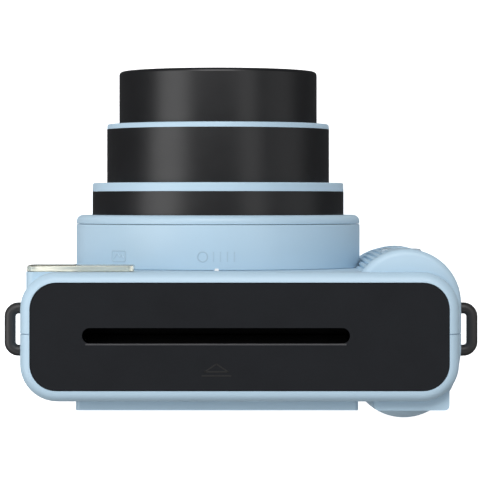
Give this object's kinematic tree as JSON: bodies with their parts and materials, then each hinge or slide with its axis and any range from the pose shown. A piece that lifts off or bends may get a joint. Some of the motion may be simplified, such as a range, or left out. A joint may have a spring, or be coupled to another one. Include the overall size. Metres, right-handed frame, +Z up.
{
  "type": "instant camera",
  "caption": "Instant film camera with a telescoping three-stage lens, mode ring, top film exit slot, rear film door, hand grip and two strap loops.",
  "frame": {"origin": "centre of the flat bottom face that the camera stands on", "axes": "+Z up, the lens looks along -Y, +X is the viewer's left"},
  "size_m": [0.1444, 0.1064, 0.1186],
  "materials": {
    "case_blue": "fine satin moulded plastic",
    "panel_black": "fine matt texture",
    "barrel_black": "smooth satin",
    "inner_black": "matt moulded",
    "lug_black": "semi gloss",
    "window_clear": "clear, faintly yellow",
    "lens_glass": "coated",
    "mirror_face": "polished",
    "steel": "plain",
    "button_metal": "spun face",
    "gear_white": "plain nylon",
    "board_green": "solder mask",
    "cell_sleeve": "printed sleeve, no marks",
    "foam": "closed-cell foam"
  },
  "bodies": {
    "camera_body": {"front_cover": "case_blue", "rear_cover": "case_blue", "hand_grip": "case_blue", "top_panel": "panel_black", "window_plate": "window_clear", "window_mask": "inner_black", "strap_lug_left": "lug_black", "strap_lug_right": "lug_black", "lens_bezel": "case_blue", "lens_base_tube": "inner_black", "camera_chassis": "inner_black", "roller_frame": "steel", "idler_axle": "steel", "eject_motor": "steel", "main_board": "board_green", "flash_capacitor": "inner_black", "flash_reflector": "mirror_face", "flash_tube": "lens_glass", "viewfinder_tube": "inner_black", "viewfinder_lenses": "lens_glass", "light_sensors": "inner_black", "battery_holder": "inner_black", "batteries": "cell_sleeve", "battery_contacts": "steel", "button_spring": "steel", "shutter_switch": "inner_black", "hinge_pins": "steel", "counter_window": "window_clear", "case_screws": "steel"},
    "mode_ring": {"mode_ring": "case_blue"},
    "outer_barrel": {"barrel_outer": "barrel_black", "trim_outer": "case_blue"},
    "middle_barrel": {"barrel_middle": "barrel_black", "trim_middle": "case_blue"},
    "inner_barrel": {"barrel_inner": "barrel_black", "lens_front_plate": "barrel_black", "selfie_mirror": "mirror_face", "front_lens": "lens_glass", "rear_lens": "lens_glass", "lens_cell": "inner_black", "shutter_housing": "inner_black", "shutter_motor": "steel"},
    "shutter_blade_a": {"shutter_blade_a": "steel"},
    "shutter_blade_b": {"shutter_blade_b": "steel"},
    "film_door": {"film_door": "case_blue", "film_window": "window_clear", "pressure_springs": "steel", "door_seal": "foam"},
    "door_latch": {"door_latch": "inner_black"},
    "battery_cover": {"battery_cover": "case_blue"},
    "shutter_button": {"shutter_button": "button_metal"},
    "drive_roller": {"drive_roller": "steel"},
    "pinch_roller": {"pinch_roller": "steel"},
    "idler_gear": {"idler_gear": "gear_white"},
    "motor_pinion": {"motor_pinion": "gear_white"},
    "film_pick": {"film_pick": "steel"},
    "counter_dial": {"counter_dial": "gear_white"}
  },
  "joints": [
    {"name": "ring_turn", "type": "hinge", "parent": "camera_body", "child": "mode_ring", "pos_m": [0.0073, 0, 0.053], "axis": [0, 1, 0], "range_deg": [0, 100]},
    {"name": "outer_slide", "type": "slide", "parent": "camera_body", "child": "outer_barrel", "axis": [0, 1, 0], "range_m": [0, 0.0107]},
    {"name": "middle_slide", "type": "slide", "parent": "camera_body", "child": "middle_barrel", "axis": [0, 1, 0], "range_m": [0, 0.0291]},
    {"name": "inner_slide", "type": "slide", "parent": "camera_body", "child": "inner_barrel", "axis": [0, 1, 0], "range_m": [0, 0.0455]},
    {"name": "blade_a_turn", "type": "hinge", "parent": "inner_barrel", "child": "shutter_blade_a", "pos_m": [0.0243, 0, 0.053], "axis": [0, 1, 0], "range_deg": [0, 45]},
    {"name": "blade_b_turn", "type": "hinge", "parent": "inner_barrel", "child": "shutter_blade_b", "pos_m": [-0.0097, 0, 0.053], "axis": [0, 1, 0], "range_deg": [0, 45]},
    {"name": "door_swing", "type": "hinge", "parent": "camera_body", "child": "film_door", "pos_m": [0.007, 0.0176, 0.0065], "axis": [-1, 0, 0], "range_deg": [0, 88]},
    {"name": "latch_slide", "type": "slide", "parent": "film_door", "child": "door_latch", "axis": [0, 0, -1], "range_m": [0, 0.004], "stiffness_N_per_m": 150},
    {"name": "battery_cover_slide", "type": "slide", "parent": "camera_body", "child": "battery_cover", "axis": [-1, 0, 0], "range_m": [0, 0.025]},
    {"name": "button_press", "type": "slide", "parent": "camera_body", "child": "shutter_button", "axis": [0, 1, 0], "range_m": [0, 0.0012], "stiffness_N_per_m": 300},
    {"name": "roller_turn", "type": "hinge", "parent": "camera_body", "child": "drive_roller", "pos_m": [0, 0.004, 0.107], "axis": [1, 0, 0], "continuous": true},
    {"name": "pinch_turn", "type": "hinge", "parent": "camera_body", "child": "pinch_roller", "pos_m": [0, -0.0046, 0.107], "axis": [1, 0, 0], "continuous": true},
    {"name": "idler_turn", "type": "hinge", "parent": "camera_body", "child": "idler_gear", "pos_m": [0, 0.004, 0.0918], "axis": [1, 0, 0], "continuous": true},
    {"name": "pinion_turn", "type": "hinge", "parent": "camera_body", "child": "motor_pinion", "pos_m": [0, 0.004, 0.079], "axis": [1, 0, 0], "continuous": true},
    {"name": "pick_slide", "type": "slide", "parent": "camera_body", "child": "film_pick", "axis": [0, 0, 1], "range_m": [0, 0.008]},
    {"name": "dial_turn", "type": "hinge", "parent": "camera_body", "child": "counter_dial", "pos_m": [0.055, 0.014, 0.03], "axis": [0, 1, 0], "continuous": true}
  ],
  "couplings": [
    {"joint": "outer_slide", "follows": "ring_turn", "m_per_rad": 0.0060734},
    {"joint": "middle_slide", "follows": "ring_turn", "m_per_rad": 0.016616},
    {"joint": "inner_slide", "follows": "ring_turn", "m_per_rad": 0.026012},
    {"joint": "blade_b_turn", "follows": "blade_a_turn", "ratio": 1},
    {"joint": "pinch_turn", "follows": "roller_turn", "ratio": -1},
    {"joint": "idler_turn", "follows": "roller_turn", "ratio": -0.72727},
    {"joint": "pinion_turn", "follows": "roller_turn", "ratio": 1.6}
  ]
}
